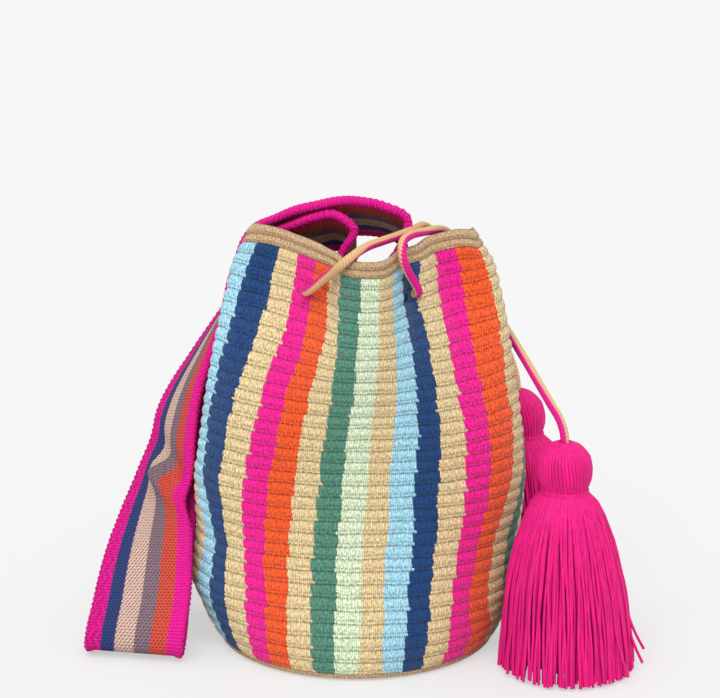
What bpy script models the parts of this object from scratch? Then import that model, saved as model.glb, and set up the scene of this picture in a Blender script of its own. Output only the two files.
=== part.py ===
"""Crocheted shoulder bag with a woven strap, a gathering cord and two yarn tassels.

All sizes are in millimetres and MM turns them to metres. +Z is up, -Y is the front,
and the origin is the middle of the round base, on the surface that the bag stands on.
The bag is worked in rounds: a round runs along u, counted in colour stripes, with u = 0
on the front edge between the dark and the light green stripe.
"""
import math

import bmesh
import bpy
import numpy as np
from mathutils import Vector

MM = 0.001

# The crocheted body
STRIPES = 36
COLUMNS_PER_STRIPE = 2
ROWS = 33
ROW_HEIGHT = 9.38
RIM_ROWS = 2
RIM_ROW_HEIGHT = 6.5
BASE_EDGE_HEIGHT = 4.5
BASE_CORNER = 4.0
BASE_RADIUS = 104.0
BELLY_HALF_WIDTH = 124.5
BELLY_HALF_DEPTH = 79.0
MOUTH_HALF_WIDTH = 91.5
RIDGE = 1.4
YARN_WALL = 3.0
RIM_TOP_INSET = 0.8
FLOOR_THICKNESS = 4.0
BAG_HEIGHT = BASE_EDGE_HEIGHT + ROWS * ROW_HEIGHT + RIM_ROWS * RIM_ROW_HEIGHT

# The eyelets, one row of stitches high: first stripe position and width in columns
EYELET_ROW = 30
EYELETS = ((-3.5, 1), (3.0, 1), (9.0, 2), (15.0, 2), (20.0, 2), (26.0, 2))

# The woven strap
STRAP_WIDTH = 78.0
STRAP_THICKNESS = 3.6
STRAP_EDGE_THICKNESS = 6.0
STRAP_STATIONS = 60
STRAP_ROLL_SHARE = 0.93
STRAP_WEB_SHARE = 0.82

# The cord and its two tassels
CORD_DIAMETER = 6.6
CORD_GAP = 0.8
CORD_SAMPLES = 82
CORD_RISE = 7.0
SEAT_GAP = 0.3
BALL_RADIUS = 21.5
BALL_CROWN_DROP = 1.5
NECK_RADIUS = 12.5
NECK_LEAD = 2.0
BINDING_THICKNESS = 4.0
TASSEL_FLUTES = 12
FLUTE_DEPTH = 1.2
BINDING_COLUMNS = 18
BINDING_SEAT_SHARE = 0.8
FRONT_SPREAD = 47.0
BACK_SPREAD = 40.0

# Tassel outline as drop below the crown and radius: the ball, then the skirt, whose
# drop counts as a share of the whole drop and radius as a share of the foot's spread
BALL_OUTLINE = ((BALL_CROWN_DROP, 7.0), (5.0, 13.5), (12.0, 19.5), (BALL_RADIUS, BALL_RADIUS),
                (32.0, 19.0), (38.5, 14.5))
SHOULDER_OUTLINE = ((8.0, 20.5), (22.0, 27.0))
SKIRT_OUTLINE = ((0.62, 0.66), (0.80, 0.82), (0.93, 0.95), (1.0, 1.0))

# The bag that the drape of the mouth, the strap and the cord was laid out on
LAID_OUT_HALF_WIDTH = 124.5
LAID_OUT_HEIGHT = 327.04
ACROSS = BELLY_HALF_WIDTH / LAID_OUT_HALF_WIDTH
UP = BAG_HEIGHT / LAID_OUT_HEIGHT

# Sections of the body: height, half width and half depth against the belly's, squareness,
# sideways shift, stripe position of the front middle, and share of the gathered mouth
SECTIONS = (
    (24.0, 0.900, 1.316, 2.05, 1.0, 0.85, 0.00),
    (63.0, 0.976, 1.152, 2.15, 2.0, 0.88, 0.00),
    (110.0, 1.000, 1.000, 2.35, 3.0, 0.73, 0.00),
    (150.0, 0.984, 0.937, 2.45, 4.0, 0.64, 0.00),
    (190.0, 0.952, 0.949, 2.40, 4.0, 0.50, 0.06),
    (245.0, 0.875, 1.038, 2.20, 4.0, 0.40, 0.46),
    (285.0, 0.800, 1.013, 2.10, 5.0, 0.40, 0.90),
)
BASE_FRONT_STRIPE = 0.82
SECTION_SAMPLES = 1441
SIDE_STEP = 0.12

# Colours of the repeating nine stripes, as places in BODY_FINISHES
STRIPE_COLOURS = (1, 0, 2, 3, 0, 4, 5, 0, 6)

# The rim seen from above, with its height: fourteen stripe edges from the left corner to
# the right one, then the folded back from the right corner to the left
RIM_FRONT_FIRST = -7
RIM_FRONT = (
    (-86, 8, 325), (-75, -2, 325), (-57.8, -8.3, 321.5), (-42.8, -18.8, 318.5),
    (-28.5, -30.4, 315), (-16.5, -44.3, 312.5), (-9, -61, 311), (4.5, -71.5, 311),
    (18.8, -69, 311), (27.8, -55, 312), (35.3, -39.5, 313.5), (48.8, -27, 315),
    (59.3, -13.5, 318), (76.5, -8, 321.5), (93, -2, 326),
)
RIM_CORNER_STRIPE = 7.7
RIM_BACK = (
    (97, 9, 327), (93, 26, 318), (78, 42, 303), (60, 50, 297), (44, 44, 296),
    (34, 20, 299), (26, -4, 298), (14, -20, 291), (0, -24, 289), (-12, -18, 292),
    (-24, 0, 302), (-34, 24, 297), (-46, 44, 291), (-60, 48, 291), (-74, 36, 295),
    (-83, 22, 308),
)
LAID_OUT_MOUTH_HALF_WIDTH = 91.5

# Strap edges, each pair from the sewn right end over the arch, down to the fold on the
# floor and back up to the sewn left end: orange side's edge, then blue side's edge
STRAP_ROUTE = (
    ((14, -6, 284), (31, 70, 281)),
    ((16, -5, 297), (33, 71, 285)),
    ((25, -2, 317), (35, 70, 289)),
    ((28, -2, 330), (36, 67, 294)),
    ((14, -2, 341), (20, 64, 303)),
    ((-8, -2, 344), (-3, 64, 304)),
    ((-30, -1, 340), (-25, 65, 301)),
    ((-50, 4, 334), (-43, 70, 296)),
    ((-66, 13, 325), (-55, 82, 291)),
    ((-82, 24, 316), (-67, 96, 287)),
    ((-100, 30, 295), (-87, 102, 270)),
    ((-109, 27, 273), (-104, 101, 253)),
    ((-113, 23, 250), (-115, 97, 233)),
    ((-116, 20, 221), (-131, 94, 197)),
    ((-121, 10, 190), (-147, 80, 168)),
    ((-125, -3, 158), (-163, 62, 138)),
    ((-126, -11, 134), (-170, 49, 114)),
    ((-126, -21, 108), (-181, 33, 92)),
    ((-125, -35, 76), (-192, -1, 66)),
    ((-123, -47, 44), (-200, -31, 38)),
    ((-128, -61, 15), (-203, -47, 14)),
    ((-129, -55, 4), (-203, -41, 4)),
    ((-129, -44, 5), (-202, -28, 5)),
    ((-128, -34, 17), (-199, -13, 15)),
    ((-128, -22, 42), (-194, 7, 35)),
    ((-128, -6, 76), (-184, 33, 66)),
    ((-127, 11, 108), (-169, 65, 92)),
    ((-125, 20, 134), (-154, 87, 114)),
    ((-121, 26, 158), (-145, 95, 140)),
    ((-116, 31, 190), (-132, 103, 172)),
    ((-109, 36, 221), (-117, 109, 202)),
    ((-102, 35, 250), (-103, 109, 234)),
    ((-95, 36, 270), (-90, 109, 253)),
    ((-89, 37, 290), (-75, 107, 267)),
    ((-78, 32, 306), (-61, 100, 276)),
    ((-68, 20, 314), (-54, 88, 279)),
    ((-58, 10, 319), (-49, 77, 281)),
    ((-38, 1, 329), (-33, 66, 287)),
    ((-20, -4, 334), (-16, 62, 292)),
    ((-6, -6, 329), (-4, 61, 290)),
    ((-2, -7, 320), (-2, 61, 284)),
    ((-6, -7, 311), (-9, 62, 278)),
    ((-14, -5, 302), (-22, 66, 275)),
    ((-18.8, -3.55, 290.3), (-30.8, 68.45, 272.3)),
)


def smooth_curve(knots, values, at):
    """A smooth curve through the values at their knots, read at other places."""
    knots = np.asarray(knots, float)
    values = np.asarray(values, float)
    steps = np.diff(knots)[:, None]
    slopes = np.diff(values, axis=0) / steps
    middle = (slopes[:-1] * steps[1:] + slopes[1:] * steps[:-1]) / (steps[:-1] + steps[1:])
    tangents = np.vstack([slopes[:1], middle, slopes[-1:]])
    index = np.clip(np.searchsorted(knots, at, side="right") - 1, 0, len(knots) - 2)
    width = (knots[index + 1] - knots[index])[:, None]
    t = ((at - knots[index])[:, None]) / width
    first = values[index] * (2 * t**3 - 3 * t**2 + 1)
    second = values[index + 1] * (-2 * t**3 + 3 * t**2)
    lift = tangents[index] * width * (t**3 - 2 * t**2 + t)
    fall = tangents[index + 1] * width * (t**3 - t**2)
    return first + second + lift + fall


def chord_knots(points):
    """Running length along straight lines between the points."""
    points = np.asarray(points, float)
    lengths = np.linalg.norm(np.diff(points, axis=0), axis=1)
    return np.concatenate([[0.0], np.cumsum(lengths)])


def rounded_section(half_width, half_depth, squareness, shift, front_stripe, at):
    """Points of a rounded oval, with the stripes spread evenly along it."""
    turn = np.linspace(-math.pi / 2, 1.5 * math.pi, SECTION_SAMPLES)
    power = 2 / squareness
    x = half_width * np.sign(np.cos(turn)) * np.abs(np.cos(turn)) ** power + shift
    y = half_depth * np.sign(np.sin(turn)) * np.abs(np.sin(turn)) ** power
    run = chord_knots(np.column_stack([x, y]))
    stripe = ((at - front_stripe) % STRIPES) / STRIPES * run[-1]
    return np.column_stack([np.interp(stripe, run, x), np.interp(stripe, run, y)])


def rim_outline(at):
    """The gathered rim: place and height above the base for each stripe position."""
    front = [RIM_FRONT_FIRST + number for number in range(len(RIM_FRONT))]
    back_points = RIM_BACK + RIM_FRONT[:1]
    run = chord_knots([point[:2] for point in back_points])
    back_end = RIM_FRONT_FIRST + STRIPES
    back = RIM_CORNER_STRIPE + run / run[-1] * (back_end - RIM_CORNER_STRIPE)
    knots = np.array(front + list(back[:-1]))
    points = np.array(RIM_FRONT + RIM_BACK, float)
    knots = np.concatenate([knots - STRIPES, knots, knots + STRIPES])
    points = np.vstack([points, points, points])
    outline = smooth_curve(knots, points, np.asarray(at, float))
    spread = MOUTH_HALF_WIDTH / LAID_OUT_MOUTH_HALF_WIDTH
    return outline * np.array([spread, spread, UP])


def wall_point(at, height, offset):
    """Places on the body's wall, pushed out by an offset along the round's outward side.

    Height is measured at the rim's corners: rounds below a lower stretch of rim dip with it.
    """
    at = np.asarray(at, float)
    height = np.broadcast_to(np.asarray(height, float), at.shape)
    here = wall_round(at, height)
    before = wall_round(at - SIDE_STEP, height)
    after = wall_round(at + SIDE_STEP, height)
    along = after - before
    outward = np.column_stack([along[:, 1], -along[:, 0]])
    outward /= np.linalg.norm(outward, axis=1)[:, None]
    rim = rim_outline(at)[:, 2]
    share = np.clip(height / BAG_HEIGHT, 0, 1)
    level = height - (BAG_HEIGHT - rim) * share**2
    flat = here[:, :2] + outward * np.asarray(offset, float).reshape(-1, 1)
    return np.column_stack([flat, level])


def wall_round(at, height):
    """The round at a height, read from the sections below and above it."""
    at = np.asarray(at, float)
    rim = rim_outline(at)[:, :2]
    rings = [rounded_section(BASE_RADIUS, BASE_RADIUS, 2.0, 0.0, BASE_FRONT_STRIPE, at)]
    for _, width, depth, squareness, shift, front_stripe, mouth in SECTIONS:
        half_width = width * BELLY_HALF_WIDTH
        half_depth = depth * BELLY_HALF_DEPTH
        oval = rounded_section(half_width, half_depth, squareness, shift, front_stripe, at)
        spread = half_width / MOUTH_HALF_WIDTH
        gathered = rim * np.array([spread, 1.0])
        rings.append(oval * (1 - mouth) + gathered * mouth)
    rings.append(rim)
    knots = [0.0] + [section[0] * UP for section in SECTIONS] + [BAG_HEIGHT]
    result = np.zeros((len(at), 2))
    for column in range(len(at)):
        values = [ring[column] for ring in rings]
        place = np.array([min(max(height[column], 0.0), BAG_HEIGHT)])
        result[column] = smooth_curve(knots, values, place)[0]
    return result


def material(name, colour, roughness):
    finish = bpy.data.materials.new(name)
    finish.use_nodes = True
    shader = finish.node_tree.nodes["Principled BSDF"]
    shader.inputs["Base Color"].default_value = (*colour, 1.0)
    shader.inputs["Roughness"].default_value = roughness
    finish.diffuse_color = (*colour, 1.0)
    return finish


def add_object(name, mesh, finishes):
    thing = bpy.data.objects.new(name, mesh)
    for finish in finishes:
        thing.data.materials.append(finish)
    parts.objects.link(thing)
    return thing


def mesh_from_bmesh(name, shape):
    mesh = bpy.data.meshes.new(name)
    shape.to_mesh(mesh)
    shape.free()
    mesh.shade_smooth()
    return mesh


def add_ring(shape, points):
    return [shape.verts.new(Vector(point) * MM) for point in points]


def join_rings(shape, lower, upper, skip=(), colours=()):
    """Faces between two closed rings, with the columns in skip left open."""
    count = len(lower)
    for column in range(count):
        if column in skip:
            continue
        after = (column + 1) % count
        corners = (lower[column], lower[after], upper[after], upper[column])
        face = shape.faces.new(corners)
        if colours:
            face.material_index = colours[column]


def close_ring(shape, ring, flip=False):
    """A fan of faces from a ring to its middle."""
    middle = sum((vert.co for vert in ring), Vector()) / len(ring)
    centre = shape.verts.new(middle)
    for index, vert in enumerate(ring):
        after = ring[(index + 1) % len(ring)]
        corners = (centre, after, vert) if flip else (centre, vert, after)
        shape.faces.new(corners)


def eyelet_columns():
    columns = set()
    for stripe, width in EYELETS:
        first = round(stripe * COLUMNS_PER_STRIPE)
        for column in range(first, first + width):
            columns.add(column % (STRIPES * COLUMNS_PER_STRIPE))
    return columns


def build_body():
    """Base, wall and rim in one crocheted piece: one ridge for each row of stitches."""
    count = STRIPES * COLUMNS_PER_STRIPE
    at = np.arange(count) / COLUMNS_PER_STRIPE
    shape = bmesh.new()
    bottom = wall_point(at, 0.0, -BASE_CORNER)
    bottom[:, 2] = 0.0
    levels = [(0.5 * BASE_EDGE_HEIGHT, RIDGE), (BASE_EDGE_HEIGHT, 0.0)]
    for row in range(ROWS):
        foot = BASE_EDGE_HEIGHT + row * ROW_HEIGHT
        levels.append((foot + 0.5 * ROW_HEIGHT, RIDGE))
        levels.append((foot + ROW_HEIGHT, 0.0))
    rim_foot = BASE_EDGE_HEIGHT + ROWS * ROW_HEIGHT
    for row in range(RIM_ROWS):
        levels.append((rim_foot + (row + 0.5) * RIM_ROW_HEIGHT, RIDGE))
        levels.append((rim_foot + (row + 1) * RIM_ROW_HEIGHT, 0.0))
    levels[-1] = (BAG_HEIGHT, -RIM_TOP_INSET)
    outer = [add_ring(shape, bottom)]
    for height, offset in levels:
        outer.append(add_ring(shape, wall_point(at, height, offset)))

    eyelet_foot = BASE_EDGE_HEIGHT + EYELET_ROW * ROW_HEIGHT
    inner_heights = [rim_foot + RIM_ROW_HEIGHT]
    inner_heights += [eyelet_foot + ROW_HEIGHT, eyelet_foot + 0.5 * ROW_HEIGHT, eyelet_foot]
    inner_heights += [SECTIONS[index][0] * UP for index in (4, 2, 0)]
    inner = []
    for height in inner_heights:
        inner.append(add_ring(shape, wall_point(at, height, -YARN_WALL)))
    floor = wall_point(at, BASE_EDGE_HEIGHT, -YARN_WALL - BASE_CORNER)
    floor[:, 2] = FLOOR_THICKNESS
    inner.append(add_ring(shape, floor))

    holes = eyelet_columns()
    first_open = 2 + 2 * EYELET_ROW
    striped = [STRIPE_COLOURS[column // COLUMNS_PER_STRIPE % len(STRIPE_COLOURS)]
               for column in range(count)]
    for index in range(len(outer) - 1):
        skip = holes if index in (first_open, first_open + 1) else ()
        colours = striped if 2 <= index < 2 + 2 * ROWS else ()
        join_rings(shape, outer[index], outer[index + 1], skip, colours)
    join_rings(shape, outer[-1], inner[0])
    for index in range(len(inner) - 1):
        skip = holes if index in (1, 2) else ()
        join_rings(shape, inner[index], inner[index + 1], skip)
    close_ring(shape, outer[0], flip=True)
    close_ring(shape, inner[-1])

    outer_eyelet = outer[first_open:first_open + 3]
    inner_eyelet = [inner[3], inner[2], inner[1]]
    for column in holes:
        after = (column + 1) % count
        sides = (
            (outer_eyelet[0], inner_eyelet[0], column, after),
            (inner_eyelet[2], outer_eyelet[2], column, after),
        )
        for near, far, left, right in sides:
            shape.faces.new((near[left], near[right], far[right], far[left]))
        for step in (0, 1):
            if (column - 1) % count not in holes:
                corners = (outer_eyelet[step + 1][column], outer_eyelet[step][column],
                           inner_eyelet[step][column], inner_eyelet[step + 1][column])
                shape.faces.new(corners)
            if after not in holes:
                corners = (outer_eyelet[step][after], outer_eyelet[step + 1][after],
                           inner_eyelet[step + 1][after], inner_eyelet[step][after])
                shape.faces.new(corners)
    bmesh.ops.recalc_face_normals(shape, faces=shape.faces)
    return mesh_from_bmesh("bag_body", shape)


def strap_edges():
    """Smooth near and far edges of the strap, at evenly spread stations."""
    scale = np.array([ACROSS, ACROSS, UP])
    near = np.array([pair[0] for pair in STRAP_ROUTE], float) * scale
    far = np.array([pair[1] for pair in STRAP_ROUTE], float) * scale
    run = chord_knots((near + far) / 2)
    at = np.linspace(0, run[-1], STRAP_STATIONS)
    return smooth_curve(run, near, at), smooth_curve(run, far, at)


def build_strap():
    """A flat woven band with thicker edges, folded on the floor and looped at the mouth."""
    near, far = strap_edges()
    middle = (near + far) / 2
    across = far - near
    across /= np.linalg.norm(across, axis=1)[:, None]
    along = np.gradient(middle, axis=0)
    face = np.cross(along, across)
    face /= np.linalg.norm(face, axis=1)[:, None]
    half = STRAP_WIDTH / 2
    edge = STRAP_EDGE_THICKNESS / 2
    web = STRAP_THICKNESS / 2
    roll = STRAP_ROLL_SHARE
    flat = STRAP_WEB_SHARE
    section = (
        (-1.0, 0.0), (-roll, edge), (-flat, web), (flat, web), (roll, edge),
        (1.0, 0.0), (roll, -edge), (flat, -web), (-flat, -web), (-roll, -edge),
    )
    shape = bmesh.new()
    rings = []
    for station in range(STRAP_STATIONS):
        points = []
        for share, lift in section:
            points.append(middle[station] + across[station] * share * half + face[station] * lift)
        rings.append(add_ring(shape, points))
    for lower, upper in zip(rings, rings[1:]):
        join_rings(shape, lower, upper)
    shape.faces.new(rings[0])
    shape.faces.new(rings[-1])
    bmesh.ops.recalc_face_normals(shape, faces=shape.faces)
    return mesh_from_bmesh("strap", shape)


def laid(x, y, z):
    """A place beside the bag, which follows the bag's width and height."""
    return np.array([x * ACROSS, y * ACROSS, z * UP])


def threaded(stripe, offset):
    """A place on the cord's round, level with the middle of the eyelets."""
    height = BASE_EDGE_HEIGHT + (EYELET_ROW + 0.5) * ROW_HEIGHT
    return wall_point(np.array([stripe]), height, offset)[0]


def eyelet_middles():
    """The eyelets' middles in the order the cord meets them, going left from the front."""
    middles = []
    for stripe, width in EYELETS:
        middle = stripe + 0.5 * width / COLUMNS_PER_STRIPE
        middles.append(middle if middle < 0 else middle - STRIPES)
    return sorted(middles, reverse=True)


def cord_route():
    """The cord from the front tassel through the six eyelets to the back tassel.

    Left end over the front rim and the back, then in and out round the mouth.
    """
    outside = RIDGE + CORD_DIAMETER / 2 + CORD_GAP
    inside = -YARN_WALL - CORD_DIAMETER / 2 - CORD_GAP
    end_gap = np.array([0.0, 0.0, SEAT_GAP - BALL_CROWN_DROP])
    rise = np.array([0.0, 0.0, CORD_RISE])
    first, second, third, fourth, fifth, sixth = eyelet_middles()
    route = [
        FRONT_CROWN + end_gap, FRONT_CROWN + end_gap + rise,
        laid(146, -54, 195), laid(134, -24, 212), laid(122, 8, 228), laid(108, 34, 246),
        laid(90, 56, 268), laid(72, 64, 290), laid(60, 58, 305), laid(52, 38, 315),
        laid(44, 8, 319), laid(34, -16, 320), laid(20, -38, 320), laid(6, -58, 319),
        laid(-7, -72, 313), laid(-17, -62, 302), laid(-27, -50, 292),
        threaded(first + 0.25, outside + 4), threaded(first, outside), threaded(first, inside - 2),
        threaded(first - 1.75, inside - 3), threaded(first - 3.75, inside - 3),
        threaded(second + 0.8, inside - 3),
        threaded(second, inside - 1), threaded(second, outside + 1),
        threaded(second - 1.0, outside + 4), threaded(second - 2.1, outside + 3),
        threaded(second - 3.7, outside + 2), threaded(third + 0.6, outside + 2),
        threaded(third, outside), threaded(third, inside - 1),
        threaded(third - 1.5, inside - 3), threaded(third - 2.5, inside - 4),
        threaded(fourth + 1.3, inside - 3),
        threaded(fourth, inside - 1), threaded(fourth, outside),
        threaded(fourth - 1.7, outside + 2), threaded(fourth - 3.5, outside + 2),
        threaded(fifth + 0.7, outside + 2),
        threaded(fifth, outside + 1), threaded(fifth, inside - 1),
        threaded(fifth - 1.8, inside - 2), threaded(fifth - 4.0, inside - 3),
        threaded(sixth + 0.75, inside - 3), threaded(sixth, inside), threaded(sixth, outside),
        laid(40, -50, 295), laid(34, -57, 307), laid(33, -49, 320),
        laid(42, -26, 322), laid(54, -4, 320), laid(63, 20, 316), laid(72, 44, 307),
        laid(82, 64, 286), laid(96, 72, 256), laid(110, 72, 226), laid(121, 68, 202),
        BACK_CROWN + end_gap + rise, BACK_CROWN + end_gap,
    ]
    return np.array(route)


def tassel_solid(name, crown, foot, spread):
    """A bound yarn bundle: a ball, a tight neck and a fluted skirt that stands on its ends."""
    crown = np.array(crown)
    foot = np.array(foot)
    drop = crown[2] - foot[2]
    ball = 2 * BALL_RADIUS
    neck_foot = ball + BINDING_THICKNESS
    profile = list(BALL_OUTLINE)
    profile += [(ball - NECK_LEAD, NECK_RADIUS), (neck_foot, NECK_RADIUS)]
    profile += [(neck_foot + down, radius) for down, radius in SHOULDER_OUTLINE]
    profile += [(down * drop, radius * spread) for down, radius in SKIRT_OUTLINE]
    columns = 2 * TASSEL_FLUTES
    shape = bmesh.new()
    rings = []
    for down, radius in profile:
        share = down / drop
        middle = crown + (foot - crown) * share
        points = []
        for column in range(columns):
            turn = 2 * math.pi * column / columns
            groove = FLUTE_DEPTH * min(radius / NECK_RADIUS - 0.9, 1.6) if column % 2 else 0.0
            reach = radius - max(groove, 0.0)
            points.append(middle + np.array([reach * math.cos(turn), reach * math.sin(turn), 0]))
        rings.append(add_ring(shape, points))
    for upper, lower in zip(rings, rings[1:]):
        join_rings(shape, lower, upper)
    close_ring(shape, rings[0])
    close_ring(shape, rings[-1], flip=True)
    bmesh.ops.recalc_face_normals(shape, faces=shape.faces)
    return mesh_from_bmesh(name, shape)


def neck_binding(name, crown, foot):
    """Yarn wound round the neck, seated on it with the seat gap."""
    crown = Vector(crown)
    foot = Vector(foot)
    down = 2 * BALL_RADIUS + 0.5 * (BINDING_THICKNESS - NECK_LEAD)
    shape = bmesh.new()
    half = BINDING_THICKNESS / 2
    inner = NECK_RADIUS + SEAT_GAP
    outline = (
        (inner, -BINDING_SEAT_SHARE * half), (NECK_RADIUS + half, -half),
        (inner + half, 0.0), (NECK_RADIUS + half, half), (inner, BINDING_SEAT_SHARE * half),
    )
    rings = []
    columns = BINDING_COLUMNS
    for radius, lift in outline:
        points = []
        place = crown + (foot - crown) * (down - lift) / (crown.z - foot.z) - Vector((0, 0, lift))
        for column in range(columns):
            turn = 2 * math.pi * column / columns
            points.append(place + Vector((radius * math.cos(turn), radius * math.sin(turn), lift)))
        rings.append(add_ring(shape, points))
    for lower, upper in zip(rings, rings[1:] + rings[:1]):
        join_rings(shape, lower, upper)
    bmesh.ops.recalc_face_normals(shape, faces=shape.faces)
    return mesh_from_bmesh(name, shape)


def build_cord():
    """A round two-colour braid along a smooth curve through its route."""
    route = cord_route()
    run = chord_knots(route)
    at = np.interp(np.linspace(0, len(route) - 1, CORD_SAMPLES), np.arange(len(route)), run)
    points = smooth_curve(run, route, at)
    curve = bpy.data.curves.new("drawstring", "CURVE")
    curve.dimensions = "3D"
    curve.bevel_depth = CORD_DIAMETER / 2 * MM
    curve.bevel_resolution = 2
    curve.render_resolution_u = 0
    curve.use_fill_caps = True
    line = curve.splines.new("POLY")
    line.points.add(len(points) - 1)
    for spot, point in zip(line.points, points):
        spot.co = (*(point * MM), 1.0)
    return curve


for thing in list(bpy.data.objects):
    bpy.data.objects.remove(thing, do_unlink=True)

parts = bpy.data.collections.new("crocheted_shoulder_bag")
bpy.context.scene.collection.children.link(parts)

BEIGE = material("beige_cotton", (0.74, 0.47, 0.21), 0.9)
LIGHT_GREEN = material("light_green_cotton", (0.66, 0.85, 0.51), 0.9)
LIGHT_BLUE = material("light_blue_cotton", (0.39, 0.69, 0.87), 0.9)
NAVY = material("navy_cotton", (0.01, 0.08, 0.22), 0.9)
PINK = material("pink_cotton", (0.78, 0.01, 0.31), 0.9)
ORANGE = material("orange_cotton", (0.85, 0.1, 0.02), 0.9)
DARK_GREEN = material("dark_green_cotton", (0.05, 0.21, 0.14), 0.9)
BODY_FINISHES = [BEIGE, LIGHT_GREEN, LIGHT_BLUE, NAVY, PINK, ORANGE, DARK_GREEN]

add_object("bag_body", build_body(), BODY_FINISHES)
add_object("strap", build_strap(), [PINK])

FRONT_CROWN = laid(153, -73, 178)
FRONT_FOOT = laid(158, -74, 0)
BACK_CROWN = laid(127, 66, 182)
BACK_FOOT = laid(150, 72, 0)
tassels = (
    ("front_tassel", FRONT_CROWN, FRONT_FOOT, FRONT_SPREAD),
    ("back_tassel", BACK_CROWN, BACK_FOOT, BACK_SPREAD),
)
for name, crown, foot, spread in tassels:
    add_object(name, tassel_solid(name, crown, foot, spread), [PINK])
    binding = name + "_binding"
    add_object(binding, neck_binding(binding, crown, foot), [PINK])
add_object("drawstring", build_cord(), [BEIGE])
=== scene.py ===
import math
import random

import bmesh
import bpy
import numpy as np
from mathutils import Euler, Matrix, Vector, noise


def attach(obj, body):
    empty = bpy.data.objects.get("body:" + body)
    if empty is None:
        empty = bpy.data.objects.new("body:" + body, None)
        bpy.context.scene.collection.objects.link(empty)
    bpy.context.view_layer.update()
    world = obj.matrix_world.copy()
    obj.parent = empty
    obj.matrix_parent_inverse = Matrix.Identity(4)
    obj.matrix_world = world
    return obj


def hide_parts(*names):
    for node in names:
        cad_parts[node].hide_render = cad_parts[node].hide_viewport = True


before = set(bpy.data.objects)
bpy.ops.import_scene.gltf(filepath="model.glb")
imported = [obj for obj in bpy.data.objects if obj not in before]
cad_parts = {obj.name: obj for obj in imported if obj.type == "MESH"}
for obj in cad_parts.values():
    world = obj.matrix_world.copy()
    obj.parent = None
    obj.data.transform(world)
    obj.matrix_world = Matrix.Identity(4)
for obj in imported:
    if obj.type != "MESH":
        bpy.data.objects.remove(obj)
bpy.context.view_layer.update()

MM = 0.001

# Camera: the photograph looks at the front of the bag from 15 degrees above the floor.
# A long lens keeps the two sides nearly parallel, as they are in the photograph.
DISTANCE = 1.7
RISE = math.radians(15)
AIM = Vector((0.0022, 0.0, 0.2272))
lens = bpy.data.cameras.new("camera")
lens.sensor_width = 36
lens.lens = 36 * DISTANCE / 0.549
lens.clip_start = 0.05
lens.clip_end = 20
camera = bpy.data.objects.new("camera", lens)
bpy.context.scene.collection.objects.link(camera)
camera.location = AIM + Vector((0, -math.cos(RISE), math.sin(RISE))) * DISTANCE
camera.rotation_euler = Euler((math.pi / 2 - RISE, 0, 0))
bpy.context.scene.camera = camera


# Bag: crocheted in one piece from cotton yarn, in rounds of single crochet that start in a
# spiral at the middle of the base. The stripes are carried colours, worked into each round.
# The mouth is gathered: a dent between the front eyelets and a deep fold in the back.
STRIPES = 36
ROWS = 33
ROW_HEIGHT = 9.38
RIM_ROWS = 2
RIM_ROW_HEIGHT = 6.5
BASE_EDGE_HEIGHT = 4.5
BASE_CORNER = 4.0
BASE_RADIUS = 104.0
BELLY_HALF_WIDTH = 124.5
BELLY_HALF_DEPTH = 79.0
MOUTH_HALF_WIDTH = 91.5
RIDGE = 1.4
YARN_WALL = 3.0
RIM_FOOT = BASE_EDGE_HEIGHT + ROWS * ROW_HEIGHT
BAG_HEIGHT = RIM_FOOT + RIM_ROWS * RIM_ROW_HEIGHT
COLUMNS = 360
BASE_ROUNDS = 11
# each round and each rim round: share of its height, then how far the yarn stands out
ROUND_PROFILE = ((0.0, 0.3), (0.10, 0.75), (0.2, 0.95), (0.45, 1.7), (0.75, 1.5), (0.92, 0.8))
RIM_PROFILE = ((0.0, -0.2), (0.2, 1.0), (0.5, 1.6), (0.8, 1.0))
# the eyelets: the stripe position where each one starts, and its width in stripes
EYELET_ROW = 30
EYELETS = ((-3.5, 0.5), (3.0, 0.5), (9.0, 1.0), (15.0, 1.0), (20.0, 1.0), (26.0, 1.0))
# rounds of the wall: height, half width and half depth as shares of the belly's, squareness,
# shift to the right, stripe at the front, and how much of the mouth's gathers it shows
SECTIONS = (
    (24.0, 0.900, 1.316, 2.05, 1.0, 0.85, 0.00),
    (63.0, 0.976, 1.152, 2.15, 2.0, 0.88, 0.00),
    (110.0, 1.000, 1.000, 2.35, 3.0, 0.73, 0.00),
    (150.0, 0.984, 0.937, 2.45, 4.0, 0.64, 0.00),
    (190.0, 0.952, 0.949, 2.40, 4.0, 0.50, 0.06),
    (245.0, 0.875, 1.038, 2.20, 4.0, 0.40, 0.46),
    (285.0, 0.800, 1.013, 2.10, 5.0, 0.40, 0.90),
)

BASE_FRONT_STRIPE = 0.82
SIDE_STEP = 0.12
# the rim's places, along the front from left to right and then back behind it
RIM_FRONT_FIRST = -7
RIM_FRONT = (
    (-86, 8, 325), (-75, -2, 325), (-57.8, -8.3, 321.5), (-42.8, -18.8, 318.5),
    (-28.5, -30.4, 315), (-16.5, -44.3, 312.5), (-9, -61, 311), (4.5, -71.5, 311),
    (18.8, -69, 311), (27.8, -55, 312), (35.3, -39.5, 313.5), (48.8, -27, 315),
    (59.3, -13.5, 318), (76.5, -8, 321.5), (93, -2, 326),
)
RIM_CORNER_STRIPE = 7.7
RIM_BACK = (
    (97, 9, 327), (93, 26, 318), (78, 42, 303), (60, 50, 297), (44, 44, 296),
    (34, 20, 299), (26, -4, 298), (14, -20, 291), (0, -24, 289), (-12, -18, 292),
    (-24, 0, 302), (-34, 24, 297), (-46, 44, 291), (-60, 48, 291), (-74, 36, 295),
    (-83, 22, 308),
)
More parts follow.
